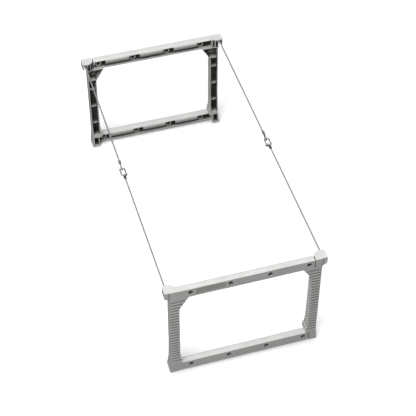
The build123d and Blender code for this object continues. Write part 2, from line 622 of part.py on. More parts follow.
with BuildPart() as right_front_ferrule:
    with BuildSketch(ROPE_AXIS.offset(front_ferrule_end)):
        Circle(FERRULE_DIAMETER / 2)
    extrude(amount=FERRULE_LENGTH)
    chamfer(right_front_ferrule.edges(), length=FERRULE_CHAMFER)

with BuildPart() as right_front_rope:
    with BuildSketch(ROPE_AXIS.offset(-eye_end)):
        Circle(ROPE_DIAMETER / 2)
    extrude(amount=front_ferrule_end + eye_end)

with BuildPart() as right_front_end_eye:
    mirror(right_rear_end_eye.part, about=Plane.XZ)


def save(part, name):
    """Labels one finished piece and writes its STEP file."""
    part.label = name
    export_step(part, f"parts/{name}.step")


def mirrored(part, plane):
    """The same piece, mirrored about a plane."""
    with BuildPart() as copy:
        mirror(part, about=plane)
    return copy.part


def turned(part):
    """The same piece, turned half round about Z."""
    with BuildPart() as copy:
        add(part, rotation=(0, 0, 180))
    return copy.part


# The left post is the right one mirrored, and the rear frame is the front one turned half round
front_frame = {
    "left_post": mirrored(front_right_post.part, Plane.YZ),
    "right_post": front_right_post.part,
    "top_rail": front_top_rail.part,
    "bottom_rail": front_bottom_rail.part,
    "label_plate": front_label_plate.part,
    "joint_screws": front_joint_screws.part,
    "anchor_pins": front_anchor_pins.part,
}
other_post = {"left_post": "right_post", "right_post": "left_post"}
for piece_name, piece in front_frame.items():
    save(piece, f"front_{piece_name}")
    save(turned(piece), f"rear_{other_post.get(piece_name, piece_name)}")

right_rope = {
    "rear_end_eye": right_rear_end_eye.part,
    "rear_rope": right_rear_rope.part,
    "rear_ferrule": right_rear_ferrule.part,
    "thimble": right_thimble.part,
    "snap_hook": right_snap_hook.part,
    "snap_gate": right_snap_gate.part,
    "gate_pin": right_gate_pin.part,
    "gate_spring": right_gate_spring.part,
    "front_ferrule": right_front_ferrule.part,
    "front_rope": right_front_rope.part,
    "front_end_eye": right_front_end_eye.part,
}
for piece_name, piece in right_rope.items():
    save(piece, f"right_{piece_name}")
    save(mirrored(piece, Plane.YZ), f"left_{piece_name}")
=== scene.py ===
"""Looks of a drying rack: two moulded end frames joined by a taut wire rope on each side.

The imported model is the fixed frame, in metres. Posts and rails are softened copies of their CAD
meshes. The label plates and all metal pieces are modelled here, each at the place of the CAD node
that it stands for. The right fittings are modelled and the left ones are their mirror images.
"""

import json
import logging
import math
from dataclasses import dataclass, field
from enum import Enum
from typing import Callable, Iterator, Sequence

import bpy
from mathutils import Quaternion, Vector
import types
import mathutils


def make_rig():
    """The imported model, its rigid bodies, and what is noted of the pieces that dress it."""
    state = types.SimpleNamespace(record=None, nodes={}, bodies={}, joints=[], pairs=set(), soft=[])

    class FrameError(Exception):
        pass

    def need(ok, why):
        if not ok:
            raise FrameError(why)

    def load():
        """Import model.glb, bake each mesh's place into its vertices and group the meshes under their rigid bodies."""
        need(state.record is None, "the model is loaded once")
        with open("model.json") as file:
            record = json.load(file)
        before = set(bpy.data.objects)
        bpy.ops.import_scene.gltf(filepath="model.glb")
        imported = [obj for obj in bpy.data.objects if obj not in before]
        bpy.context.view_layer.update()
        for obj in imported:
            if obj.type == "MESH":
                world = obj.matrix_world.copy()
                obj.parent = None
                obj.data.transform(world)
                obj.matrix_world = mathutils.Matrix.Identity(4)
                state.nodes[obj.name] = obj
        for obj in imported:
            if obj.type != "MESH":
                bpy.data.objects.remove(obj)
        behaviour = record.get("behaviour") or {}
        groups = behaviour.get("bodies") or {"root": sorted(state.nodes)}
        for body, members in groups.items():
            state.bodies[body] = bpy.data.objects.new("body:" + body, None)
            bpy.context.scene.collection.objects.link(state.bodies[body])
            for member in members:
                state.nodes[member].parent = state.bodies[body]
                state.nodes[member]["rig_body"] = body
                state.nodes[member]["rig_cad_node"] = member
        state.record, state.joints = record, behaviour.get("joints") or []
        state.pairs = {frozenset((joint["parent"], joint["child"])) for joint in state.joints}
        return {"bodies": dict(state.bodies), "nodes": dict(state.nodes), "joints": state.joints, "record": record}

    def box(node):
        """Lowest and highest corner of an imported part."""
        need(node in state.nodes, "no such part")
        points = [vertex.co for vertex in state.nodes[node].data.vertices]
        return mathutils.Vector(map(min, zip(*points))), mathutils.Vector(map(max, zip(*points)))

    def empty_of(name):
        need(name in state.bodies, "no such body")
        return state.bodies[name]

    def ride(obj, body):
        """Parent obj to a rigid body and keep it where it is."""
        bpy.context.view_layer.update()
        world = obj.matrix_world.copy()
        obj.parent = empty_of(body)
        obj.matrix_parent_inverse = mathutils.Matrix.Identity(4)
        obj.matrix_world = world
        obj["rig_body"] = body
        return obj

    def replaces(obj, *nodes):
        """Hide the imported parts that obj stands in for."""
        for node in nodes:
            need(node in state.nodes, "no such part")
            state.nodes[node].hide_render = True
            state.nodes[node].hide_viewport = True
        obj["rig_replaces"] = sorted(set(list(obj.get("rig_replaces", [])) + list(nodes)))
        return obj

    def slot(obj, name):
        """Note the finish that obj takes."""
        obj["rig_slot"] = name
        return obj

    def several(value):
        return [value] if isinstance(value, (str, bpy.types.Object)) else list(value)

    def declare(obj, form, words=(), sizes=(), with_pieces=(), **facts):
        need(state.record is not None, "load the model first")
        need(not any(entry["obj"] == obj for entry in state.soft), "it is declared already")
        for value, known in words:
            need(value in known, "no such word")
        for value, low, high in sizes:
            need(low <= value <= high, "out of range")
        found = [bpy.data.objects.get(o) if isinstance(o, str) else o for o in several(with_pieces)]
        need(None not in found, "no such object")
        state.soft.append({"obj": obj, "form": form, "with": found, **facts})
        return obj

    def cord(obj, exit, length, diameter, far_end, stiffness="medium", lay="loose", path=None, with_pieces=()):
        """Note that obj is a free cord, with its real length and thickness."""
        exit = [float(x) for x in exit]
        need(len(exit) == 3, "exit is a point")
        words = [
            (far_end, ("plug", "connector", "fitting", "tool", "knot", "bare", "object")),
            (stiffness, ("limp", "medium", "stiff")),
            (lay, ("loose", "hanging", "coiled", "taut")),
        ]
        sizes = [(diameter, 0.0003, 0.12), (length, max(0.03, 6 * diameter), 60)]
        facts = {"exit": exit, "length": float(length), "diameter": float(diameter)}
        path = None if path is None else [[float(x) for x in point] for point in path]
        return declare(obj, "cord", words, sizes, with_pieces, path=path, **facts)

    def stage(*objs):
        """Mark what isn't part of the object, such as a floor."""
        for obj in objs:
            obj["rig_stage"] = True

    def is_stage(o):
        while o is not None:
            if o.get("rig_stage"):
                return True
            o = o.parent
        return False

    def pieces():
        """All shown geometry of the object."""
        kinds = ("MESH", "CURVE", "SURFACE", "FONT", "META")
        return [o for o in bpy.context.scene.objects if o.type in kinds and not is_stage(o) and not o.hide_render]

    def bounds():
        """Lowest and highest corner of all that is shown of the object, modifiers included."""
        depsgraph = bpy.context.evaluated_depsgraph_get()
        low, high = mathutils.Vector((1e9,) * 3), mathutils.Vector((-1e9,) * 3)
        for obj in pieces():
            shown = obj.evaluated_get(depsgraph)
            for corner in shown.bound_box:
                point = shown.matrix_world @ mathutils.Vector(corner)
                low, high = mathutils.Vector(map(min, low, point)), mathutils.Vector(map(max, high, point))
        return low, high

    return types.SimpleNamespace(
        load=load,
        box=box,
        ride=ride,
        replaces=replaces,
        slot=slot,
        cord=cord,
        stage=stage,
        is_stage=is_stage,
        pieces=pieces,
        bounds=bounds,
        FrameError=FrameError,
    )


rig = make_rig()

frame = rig.load()

MM = 0.001
SIZE_FILE = "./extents.json"
X_AXIS = Vector((1, 0, 0))
Y_AXIS = Vector((0, 1, 0))
Z_AXIS = Vector((0, 0, 1))

Colour = tuple[float, float, float]
Station = tuple[float, float]
Point = tuple[float, float, float]

log = logging.getLogger("drying_rack")


class Side(Enum):
    """The two ropes of the rack, by the sign of their X."""

    LEFT = -1
    RIGHT = 1


class End(Enum):
    """The two end frames of the rack, by the sign of their Y."""

    FRONT = -1
    REAR = 1


# Shader maths


class Amount:
    """A number that varies over a surface: a node's output, with arithmetic on it."""

    def __init__(self, tree: "ShaderTree", socket: bpy.types.NodeSocket) -> None:
        """Wraps a socket of a tree."""
        self.tree = tree
        self.socket = socket

    def _math(self, operation: str, first: "Amount | float", second: "Amount | float") -> "Amount":
        """Adds one Math node.

        Args:
            operation: The node's operation.
            first: Its first value.
            second: Its second value.

        Returns:
            The node's result.
        """
        return self.tree.node("Math", {"operation": operation}, {0: first, 1: second})

    def __add__(self, other: "Amount | float") -> "Amount":
        """The sum."""
        return self._math("ADD", self, other)

    def __mul__(self, other: "Amount | float") -> "Amount":
        """The product."""
        return self._math("MULTIPLY", self, other)

    __radd__ = __add__
    __rmul__ = __mul__


class ShaderTree:
    """A material's or world's nodes, with one way to add a node."""

    def __init__(self, owner: bpy.types.Material | bpy.types.World) -> None:
        """Empties the owner's node tree."""
        owner.use_nodes = True
        self.nodes = owner.node_tree.nodes
        self.links = owner.node_tree.links
        self.nodes.clear()

    def node(self, kind: str, settings: dict | None = None, inputs: dict | None = None,
             output: str | int = 0) -> Amount:
        """Adds a node.

        Args:
            kind: The node's type, without its ShaderNode prefix.
            settings: The node's own settings, and "stops" for a ramp: (position, colour) pairs.
            inputs: The value or link of each socket, by its name or number.
            output: The name or number of the output that is returned.

        Returns:
            The chosen output.
        """
        made = self.nodes.new("ShaderNode" + kind)
        for name, value in (settings or {}).items():
            if name == "stops":
                self._set_stops(made.color_ramp, value)
            else:
                setattr(made, name, value)
        for name, value in (inputs or {}).items():
            if isinstance(value, Amount):
                self.links.new(value.socket, made.inputs[name])
            else:
                made.inputs[name].default_value = value
        return Amount(self, made.outputs[output]) if made.outputs else Amount(self, None)

    @staticmethod
    def _set_stops(ramp: bpy.types.ColorRamp, stops: Sequence[tuple[float, Colour]]) -> None:
        """Gives a ramp its stops, in order of position."""
        while len(ramp.elements) < len(stops):
            ramp.elements.new(1.0)
        for element, (position, colour) in zip(ramp.elements, stops):
            element.position = position
            element.color = (*colour, 1.0)

    def object_place(self) -> Amount:
        """The surface point in the piece's own coordinates."""
        return self.node("TexCoord", output="Object")

    def noise(self, place: Amount, size: float, detail: float = 2.0, roughness: float = 0.5) -> Amount:
        """Adds a noise texture.

        Args:
            place: The coordinates.
            size: The width of a blotch in metres.
            detail: How many finer octaves it has.
            roughness: How strong the finer octaves are.

        Returns:
            The noise, around one half.
        """
        inputs = {"Vector": place, "Scale": 1 / size, "Detail": detail, "Roughness": roughness}
        return self.node("TexNoise", {}, inputs, "Fac")

    def stretched(self, place: Amount, along: Vector, factor: float) -> Amount:
        """Coordinates squeezed along one axis, so that a pattern is drawn out along it."""
        scale = [factor if part else 1.0 for part in along]
        return self.node("Mapping", {}, {"Vector": place, "Scale": scale}, "Vector")

    def ramp(self, value: Amount, *stops: tuple[float, float]) -> Amount:
        """A number read from a ramp of (position, grey) stops."""
        greys = [(position, (grey, grey, grey)) for position, grey in stops]
        return self.node("ValToRGB", {"stops": greys}, {"Fac": value}, "Color")

    def mix(self, share: Amount, first: Amount | Colour, second: Amount | Colour) -> Amount:
        """The mix of two colours, by the share of the second."""
        pair = [c if isinstance(c, Amount) else (*c, 1.0) for c in (first, second)]
        return self.node("Mix", {"data_type": "RGBA"}, {0: share, 6: pair[0], 7: pair[1]}, 2)

    def openness(self, reach: float) -> Amount:
        """How open the surface is, from 0 in a deep hollow to 1, within a reach on the same piece."""
        settings = {"samples": 8, "only_local": True}
        return self.node("AmbientOcclusion", settings, {"Distance": reach}, "AO")

    def bump(self, height: Amount, distance: float, below: Amount | None = None) -> Amount:
        """A normal from a height.

        Args:
            height: The height, from 0 to 1.
            distance: The real height of 1, in metres.
            below: The normal that it is added to.

        Returns:
            The bumped normal.
        """
        inputs = {"Height": height, "Distance": distance, "Strength": 1.0}
        if below is not None:
            inputs["Normal"] = below
        return self.node("Bump", {}, inputs, "Normal")

    def close(self, **sockets: Amount | float | Colour) -> None:
        """Adds the shader and the output.

        Args:
            **sockets: The shader's sockets, with underscores for spaces.
        """
        inputs = {name.replace("_", " "): value for name, value in sockets.items()}
        shader = self.node("BsdfPrincipled", {}, inputs, "BSDF")
        self.node("OutputMaterial", {}, {"Surface": shader})


def new_material(name: str) -> tuple[bpy.types.Material, ShaderTree]:
    """An empty material and its tree."""
    material = bpy.data.materials.new(name)
    return material, ShaderTree(material)


# Finishes


@dataclass(frozen=True)
class MouldedPlastic:
    """Light grey moulded plastic: an eroded grain, slow mottling, scuffs, floor dust and painted shade in hollows,
    bores and grooves.
    """

    slot: str = "moulded_frame"
    light: Colour = (0.60, 0.605, 0.59)
    dark: Colour = (0.53, 0.535, 0.52)
    dust: Colour = (0.46, 0.45, 0.425)
    # The near-black colour of the painted shade in hollows, bores and grooves.
    painted_shade_colour: Colour = (0.045, 0.048, 0.034)
    scuffed: Colour = (0.74, 0.74, 0.73)
    hollow_reach: float = 26 * MM
    groove_reach: float = 5 * MM
    grain: float = 0.45 * MM
    grain_height: float = 0.035 * MM
    blotch: float = 38 * MM
    scuff_width: float = 1.1 * MM
    dust_height: float = 55 * MM

    def material(self) -> bpy.types.Material:
        """Makes the material.

        Returns:
            The plastic's material.
        """
        material, tree = new_material("light_moulded_plastic")
        place = tree.object_place()
        mottle = tree.noise(place, self.blotch, 3.0)
        grain = tree.noise(place, self.grain, 2.0, 0.6)
        drawn = tree.stretched(place, X_AXIS, 0.06)
        scuff = tree.ramp(tree.noise(drawn, self.scuff_width, 4.0), (0.66, 0.0), (0.78, 1.0))
        height = tree.node("SeparateXYZ", {}, {"Vector": place}, "Z")
        low = tree.node("MapRange", {}, {"Value": height, "From Min": self.dust_height, "From Max": 0.0})
        dusty = low * tree.ramp(tree.noise(place, 9 * MM, 5.0), (0.42, 0.0), (0.75, 1.0)) * 0.45
        base = tree.mix(tree.ramp(mottle, (0.3, 0.0), (0.7, 1.0)), self.light, self.dark)
        fine = tree.mix(grain * 0.16, base, self.dark)
        worn = tree.mix(scuff * 0.22, fine, self.scuffed)
        dusted = tree.mix(dusty, worn, self.dust)
        # Mixes in the painted shade: darker in hollows, bores, groove bottoms and on faces that point down.
        colour = tree.mix(self.shade(tree), dusted, self.painted_shade_colour)
        roughness = 0.47 + 0.1 * mottle + 0.12 * scuff + 0.18 * dusty
        normal = tree.bump(grain, self.grain_height)
        tree.close(Base_Color=colour, Roughness=roughness, Normal=normal, Specular_IOR_Level=0.42)
        return material

    def shade(self, tree: ShaderTree) -> Amount:
        """The painted shade in hollows, bores and grooves, least on what faces up.

        Args:
            tree: The plastic's tree.

        Returns:
            The share of the painted shade colour.
        """
        # Painted shade: occlusion darkens hollows and grooves, and faces that point down take more of it.
        hollow, groove = (tree.openness(reach) for reach in (self.hollow_reach, self.groove_reach))
        normal = tree.node("TexCoord", output="Normal")
        upward = tree.node("SeparateXYZ", {}, {"Vector": normal}, "Z")
        hollow_shade = tree.ramp(hollow, (0.42, 0.97), (0.93, 0.0)) * tree.ramp(upward, (0.55, 1.0), (0.9, 0.03))
        deep = tree.ramp(hollow, (0.34, 1.0), (0.5, 0.0))
        groove_shade = tree.ramp(groove, (0.82, 0.92), (0.985, 0.0)) * tree.ramp(upward, (0.45, 1.0), (0.9, 0.0))
        return hollow_shade + deep + groove_shade


@dataclass(frozen=True)
class SatinPlate:
    """Blank satin label stock, a shade darker than the frame, with a fine brushed line."""

    slot: str = "label_plate"
    light: Colour = (0.47, 0.48, 0.44)
    dark: Colour = (0.36, 0.37, 0.335)
    line: float = 0.35 * MM

    def material(self) -> bpy.types.Material:
        """Makes the material.

        Returns:
            The plate's material.
        """
        material, tree = new_material("satin_label_plate")
        drawn = tree.stretched(tree.object_place(), X_AXIS, 0.02)
        lines = tree.noise(drawn, self.line, 3.0)
        colour = tree.mix(lines, self.light, self.dark)
        normal = tree.bump(lines, 0.006 * MM)
        tree.close(Base_Color=colour, Roughness=0.34 + 0.15 * lines, Normal=normal)
        return material


@dataclass(frozen=True)
class PlatedMetal:
    """Plated or bare steel: fine tool marks round an axis, dull patches and small stains."""

    slot: str
    name: str
    light: Colour
    dark: Colour
    roughness: float
    metallic: float = 1.0
    stain: Colour = (0.16, 0.14, 0.12)
    stain_share: float = 0.25
    mark: float = 0.18 * MM
    mark_axis: tuple[float, float, float] = (0, 1, 0)
    patch: float = 2.6 * MM

    def material(self) -> bpy.types.Material:
        """Makes the material.

        Returns:
            The metal's material.
        """
        material, tree = new_material(self.name)
        place = tree.object_place()
        squeeze = [0.15 + part for part in self.mark_axis]
        across = tree.node("Mapping", {}, {"Vector": place, "Scale": squeeze}, 0)
        marks = tree.noise(across, self.mark, 2.0)
        patches = tree.noise(place, self.patch, 4.0, 0.6)
        stains = tree.ramp(tree.noise(place, 0.9 * MM, 5.0, 0.7), (0.56, 0.0), (0.72, 1.0))
        plating = tree.mix(tree.ramp(patches, (0.35, 0.0), (0.65, 1.0)), self.light, self.dark)
        colour = tree.mix(stains * self.stain_share, plating, self.stain)
        roughness = self.roughness + 0.16 * patches + 0.12 * marks + 0.15 * stains
        normal = tree.bump(patches, 0.02 * MM, tree.bump(marks, 0.008 * MM))
        tree.close(Base_Color=colour, Metallic=self.metallic, Roughness=roughness, Normal=normal)
        return material


PLASTIC = MouldedPlastic()
LABEL = SatinPlate()
SCREW = PlatedMetal("plated_screw", "zinc_screw", (0.66, 0.65, 0.62), (0.50, 0.49, 0.47), 0.30)
PIN = PlatedMetal("anchor_pin", "bright_pin", (0.66, 0.67, 0.68), (0.52, 0.53, 0.54), 0.22)
SWAGED = PlatedMetal("swaged_terminal", "swaged_steel", (0.42, 0.43, 0.44), (0.26, 0.27, 0.28), 0.38)
SLEEVE = PlatedMetal("crimped_ferrule", "dark_sleeve", (0.12, 0.125, 0.13), (0.055, 0.06, 0.065), 0.46, 0.8,
                     stain=(0.30, 0.29, 0.27), stain_share=0.3)
FITTING = PlatedMetal("plated_fitting", "zinc_fitting", (0.46, 0.47, 0.49), (0.30, 0.31, 0.33), 0.36)
SPRING = PlatedMetal("spring_wire", "spring_steel", (0.46, 0.45, 0.43), (0.30, 0.29, 0.28), 0.28)
ROPE = PlatedMetal("wire_rope", "galvanised_wire", (0.44, 0.45, 0.455), (0.28, 0.29, 0.295), 0.44, 0.6,
                   mark_axis=(0, 0, 1), stain=(0.14, 0.13, 0.12), stain_share=0.4)


# Modelling tools


def deselect() -> None:
    """Leaves edit mode and deselects every object."""
    if bpy.context.object is not None and bpy.context.object.mode != "OBJECT":
        bpy.ops.object.mode_set(mode="OBJECT")
    for piece in bpy.context.selected_objects:
        piece.select_set(False)


def hold(*pieces: bpy.types.Object) -> None:
    """Selects only these objects, the first of them active."""
    deselect()
    for piece in pieces:
        piece.select_set(True)
    bpy.context.view_layer.objects.active = pieces[0]


def edit(piece: bpy.types.Object, select: bool = True) -> None:
    """Enters edit mode on one object, with all or nothing of it selected."""
    hold(piece)
    bpy.ops.object.mode_set(mode="EDIT")
    bpy.ops.mesh.select_all(action="SELECT" if select else "DESELECT")


def select_faces(piece: bpy.types.Object, wanted: Callable[[bpy.types.MeshPolygon], bool]) -> None:
    """Enters edit mode with only the wanted faces selected.

    Args:
        piece: The object.
        wanted: Says of a face if it is selected.
    """
    edit(piece, select=False)
    bpy.ops.mesh.select_mode(type="FACE")
    bpy.ops.object.mode_set(mode="OBJECT")
    for face in piece.data.polygons:
        face.select = wanted(face)
    bpy.ops.object.mode_set(mode="EDIT")


def mend(piece: bpy.types.Object, within: float = 0.002 * MM) -> None:
    """Merges doubles, then turns all faces outwards."""
    edit(piece)
    bpy.ops.mesh.remove_doubles(threshold=within)
    bpy.ops.mesh.normals_make_consistent(inside=False)
    deselect()


def settle(piece: bpy.types.Object, name: str) -> bpy.types.Object:
    """Names a piece and moves its place into its mesh.

    Args:
        piece: The object.
        name: Its new name.

    Returns:
        The same object, at the origin, unturned and unscaled.
    """
    hold(piece)
    bpy.ops.object.transform_apply(location=True, rotation=True, scale=True)
    piece.name = name
    piece.data.name = name
    return piece


def apply(piece: bpy.types.Object, kind: str, **settings: object) -> None:
    """Adds a modifier to an object and applies it.

    Args:
        piece: The object.
        kind: The modifier's type.
        **settings: The modifier's settings.
    """
    hold(piece)
    modifier = piece.modifiers.new(kind.title(), kind)
    for name, value in settings.items():
        setattr(modifier, name, value)
    bpy.ops.object.modifier_apply(modifier=modifier.name)


def combine(piece: bpy.types.Object, other: bpy.types.Object, operation: str) -> None:
    """Joins a solid to a piece, or cuts it out, and removes the other solid."""
    apply(piece, "BOOLEAN", object=other, operation=operation, solver="EXACT")
    bpy.data.objects.remove(other)


def soften(piece: bpy.types.Object, width: float, segments: int = 2, angle: float = 28.0) -> None:
    """Rounds the sharp edges of a piece and shades it smooth between them.

    Args:
        piece: The object.
        width: The width of the round, in metres.
        segments: How many faces go round an edge.
        angle: The least angle of a sharp edge, in degrees.
    """
    apply(piece, "BEVEL", width=width, segments=segments, limit_method="ANGLE",
          angle_limit=math.radians(angle), use_clamp_overlap=True, harden_normals=False)
    smooth(piece)


def smooth(piece: bpy.types.Object, angle: float = 35.0) -> None:
    """Shades a piece smooth, except at edges sharper than an angle in degrees, and its flats flat."""
    hold(piece)
    bpy.ops.object.shade_smooth_by_angle(angle=math.radians(angle))
    apply(piece, "WEIGHTED_NORMAL", mode="FACE_AREA", weight=100, keep_sharp=True)


def facing(axis: Vector) -> tuple[float, float, float]:
    """The turn that points a primitive's Z along an axis."""
    return tuple(axis.to_track_quat("Z", "Y").to_euler())


def turned(origin: Vector, axis: Vector, stations: Sequence[Station], segments: int = 32) -> bpy.types.Object:
    """A solid of revolution: a disc drawn out along an axis and widened at each station.

    Args:
        origin: The point that the stations are measured from.
        axis: The direction of the solid's axis.
        stations: (distance along the axis, radius) pairs, from one end to the other.
        segments: How many faces go round it.

    Returns:
        The closed solid.
    """
    reached, radius = stations[0]
    deselect()
    bpy.ops.mesh.primitive_circle_add(vertices=segments, radius=radius, fill_type="NGON",
                                      location=origin + axis * reached, rotation=facing(axis))
    piece = settle(bpy.context.object, "turned")
    edit(piece)
    for along, next_radius in stations[1:]:
        step = axis * (along - reached)
        bpy.ops.mesh.extrude_region_move(TRANSFORM_OT_translate={"value": step})
        if next_radius != radius:
            share = next_radius / radius
            bpy.ops.transform.resize(value=(share, share, share), center_override=origin + axis * along)
        reached, radius = along, next_radius
    mend(piece)
    return piece


def rod(origin: Vector, axis: Vector, low: float, high: float, radius: float,
        segments: int = 32) -> bpy.types.Object:
    """A plain round bar between two distances along an axis."""
    return turned(origin, axis, [(low, radius), (high, radius)], segments)


def groove(at: float, width: float, slope: float, radius: float, depth: float) -> list[Station]:
    """The stations of a groove round a turned bar.

    Args:
        at: Where the groove begins along the bar.
        width: Its whole width.
        slope: The width of each of its sloping sides.
        radius: The bar's radius.
        depth: The groove's depth.

    Returns:
        The four stations.
    """
    floor = radius - depth
    return [(at, radius), (at + slope, floor), (at + width - slope, floor), (at + width, radius)]


def block(low: Vector, high: Vector) -> bpy.types.Object:
    """A box between two corners."""
    deselect()
    bpy.ops.mesh.primitive_cube_add(size=1.0, location=(low + high) / 2)
    bpy.context.object.scale = high - low
    return settle(bpy.context.object, "block")


def hulled(parts: Sequence[bpy.types.Object]) -> bpy.types.Object:
    """The convex hull of several solids.

    Args:
        parts: The solids, which are used up.

    Returns:
        The hull, its flat sides each one face.
    """
    hold(*parts)
    if len(parts) > 1:
        bpy.ops.object.join()
    piece = bpy.context.object
    edit(piece)
    bpy.ops.mesh.convex_hull()
    bpy.ops.mesh.select_all(action="SELECT")
    bpy.ops.mesh.dissolve_limited(angle_limit=math.radians(0.5))
    mend(piece)
    return piece


def mirror_image(piece: bpy.types.Object, name: str, axis: int) -> bpy.types.Object:
    """A mirrored copy of a piece, with a mesh of its own.

    Args:
        piece: The piece.
        name: The copy's name.
        axis: The number of the axis that is mirrored.

    Returns:
        The copy.
    """
    hold(piece)
    bpy.ops.object.duplicate()
    copy = bpy.context.object
    copy.scale[axis] = -1
    settle(copy, name)
    edit(copy)
    bpy.ops.mesh.customdata_custom_splitnormals_clear()
    bpy.ops.mesh.normals_make_consistent(inside=False)
    smooth(copy)
    return copy


def centre_of(node: str) -> Vector:
    """The middle of a CAD node's box."""
    low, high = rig.box(node)
    return (low + high) / 2


def nodes_box(node: str, chosen: Callable[[Vector], bool]) -> tuple[Vector, Vector]:
    """The box of the part of a CAD node that is chosen, such as one screw of several.

    Args:
        node: The CAD node.
        chosen: Says of a point if it belongs to that part.

    Returns:
        The box's lowest and highest corner.
    """
    points = [vertex.co for vertex in frame["nodes"][node].data.vertices if chosen(vertex.co)]
    low = Vector([min(point[i] for point in points) for i in range(3)])
    high = Vector([max(point[i] for point in points) for i in range(3)])
    return low, high


@dataclass
class SubAssembly:
    """What the sub-assemblies share: the materials made so far, and how a piece is mounted."""

    materials: dict[str, bpy.types.Material]

    def mount(self, piece: bpy.types.Object, name: str, node: str, body: str,
              finish: MouldedPlastic | SatinPlate | PlatedMetal) -> bpy.types.Object:
        """Names, dresses and mounts a finished piece in place of its CAD node.

        Args:
            piece: The piece.
            name: The piece's name.
            node: The CAD node that it stands for.
            body: The CAD body that it rides on.
            finish: Its finish.

        Returns:
            The piece.
        """
        if finish.slot not in self.materials:
            self.materials[finish.slot] = finish.material()
        settle(piece, name)
        piece.data.materials.clear()
        piece.data.materials.append(self.materials[finish.slot])
        frame["nodes"][node].data.materials.clear()
        frame["nodes"][node].data.materials.append(self.materials[finish.slot])
        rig.ride(piece, body)
        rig.replaces(piece, node)
        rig.slot(piece, finish.slot)
        log.info("%s: %d faces, rides on %s", name, len(piece.data.polygons), body)
        return piece


# End frames


@dataclass
class EndFrame(SubAssembly):
    """One moulded end frame with its label plate, joint screws and anchor pins."""

    end: End
    edge_round: float = 0.45 * MM
    label_rim: float = 1.3 * MM
    label_sink: float = 0.25 * MM
    slot_width: float = 0.8 * MM
    slot_depth: float = 0.7 * MM

    @property
    def name(self) -> str:
        """The frame's word in the names of its nodes."""
        return self.end.name.lower()

    @property
    def outward(self) -> Vector:
        """The direction that the frame's outer face points in."""
        return Y_AXIS * self.end.value

    def build(self) -> None:
        """Makes every piece of the frame."""
        body = f"{self.name}_frame"
        for moulding in ("left_post", "right_post", "top_rail", "bottom_rail"):
            node = f"{self.name}_{moulding}"
            self.mount(self.moulding(node), f"{node}_moulding", node, body, PLASTIC)
        for part, maker, finish in (("label_plate", self.label, LABEL), ("joint_screws", self.screws, SCREW),
                                    ("anchor_pins", self.pins, PIN)):
            node = f"{self.name}_{part}"
            self.mount(maker(node), f"{node}_finished", node, body, finish)

    def moulding(self, node: str) -> bpy.types.Object:
        """A copy of a CAD moulding with its flat sides made whole and its edges rounded.

        Args:
            node: The CAD node.

        Returns:
            The softened copy.
        """
        deselect()
        copy = bpy.data.objects.new(node, frame["nodes"][node].data.copy())
        bpy.context.scene.collection.objects.link(copy)
        edit(copy)
        bpy.ops.mesh.customdata_custom_splitnormals_clear()
        bpy.ops.mesh.remove_doubles(threshold=0.001 * MM)
        bpy.ops.mesh.dissolve_limited(angle_limit=math.radians(0.4))
        deselect()
        soften(copy, self.edge_round, 2)
        return copy

    def label(self, node: str) -> bpy.types.Object:
        """A blank label plate with rounded corners and a thin raised rim.

        Args:
            node: The CAD node.

        Returns:
            The plate.
        """
        low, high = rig.box(node)
        piece = block(low, high)
        edit(piece, select=False)
        bpy.ops.object.mode_set(mode="OBJECT")
        for edge in piece.data.edges:
            first, second = (piece.data.vertices[i].co for i in edge.vertices)
            edge.select = abs(first.y - second.y) > MM / 10
        bpy.ops.object.mode_set(mode="EDIT")
        bpy.ops.mesh.bevel(offset=1.0 * MM, segments=4, affect="EDGES")
        select_faces(piece, lambda face: face.normal.dot(self.outward) > 0.9)
        bpy.ops.mesh.inset(thickness=self.label_rim)
        bpy.ops.transform.translate(value=-self.outward * self.label_sink)
        soften(piece, 0.12 * MM)
        return piece

    def screws(self, node: str) -> bpy.types.Object:
        """The four slotted pan-head screws, each turned on its own.

        Args:
            node: The CAD node.

        Returns:
            The screws, as one piece.
        """
        middle = centre_of(node).z
        copies = []
        for side in Side:
            for upper in (False, True):
                low, high = nodes_box(node, lambda p: p.x * side.value > 0 and (p.z > middle) == upper)
                place = (low + high) / 2
                place.y = (high.y, low.y)[self.end is End.REAR]
                copies.append(self.screw(place, (high.x - low.x) / 2, high.y - low.y))
        hold(*copies)
        bpy.ops.object.join()
        return bpy.context.object

    def screw(self, top: Vector, head: float, length: float) -> bpy.types.Object:
        """One screw, turned from its head down, with a slot cut in it.

        Args:
            top: The middle of the head's top.
            head: The head's radius.
            length: The whole length.

        Returns:
            The screw.
        """
        shank = head * 0.55
        crown = [(0.0, head * 0.6), (0.15 * MM, head * 0.78), (0.4 * MM, head * 0.92), (0.8 * MM, head)]
        ridges = [(1.9 * MM + i * 0.5 * MM, shank * (1.0, 0.86)[i % 2]) for i in range(11)]
        stations = crown + [(1.7 * MM, head), (1.8 * MM, head * 0.95), (1.8 * MM, shank), *ridges]
        stations += [(length, shank * 0.8)]
        piece = turned(top, self.outward, stations, 24)
        half = Vector((head * 1.2, self.slot_depth, self.slot_width / 2))
        combine(piece, block(top - half, top + half), "DIFFERENCE")
        soften(piece, 0.06 * MM, 1)
        return piece

    def pins(self, node: str) -> bpy.types.Object:
        """The two anchor pins, each with chamfered ends and a shallow dimple in its outer end.

        Args:
            node: The CAD node.

        Returns:
            The pins, as one piece.
        """
        copies = []
        for side in Side:
            low, high = nodes_box(node, lambda p: p.x * side.value > 0)
            radius = (high.z - low.z) / 2
            inner = (low + high) / 2
            inner.x = (high.x, low.x)[side is Side.RIGHT]
            length = high.x - low.x
            stations = [(0.0, radius * 0.78), (0.6 * MM, radius), (length - 0.5 * MM, radius),
                        (length, radius * 0.82), (length, radius * 0.4), (length - 0.5 * MM, radius * 0.15)]
            copies.append(turned(inner, X_AXIS * side.value, stations, 40))
        hold(*copies)
        bpy.ops.object.join()
        smooth(bpy.context.object)
        return bpy.context.object


# Ropes and their fittings


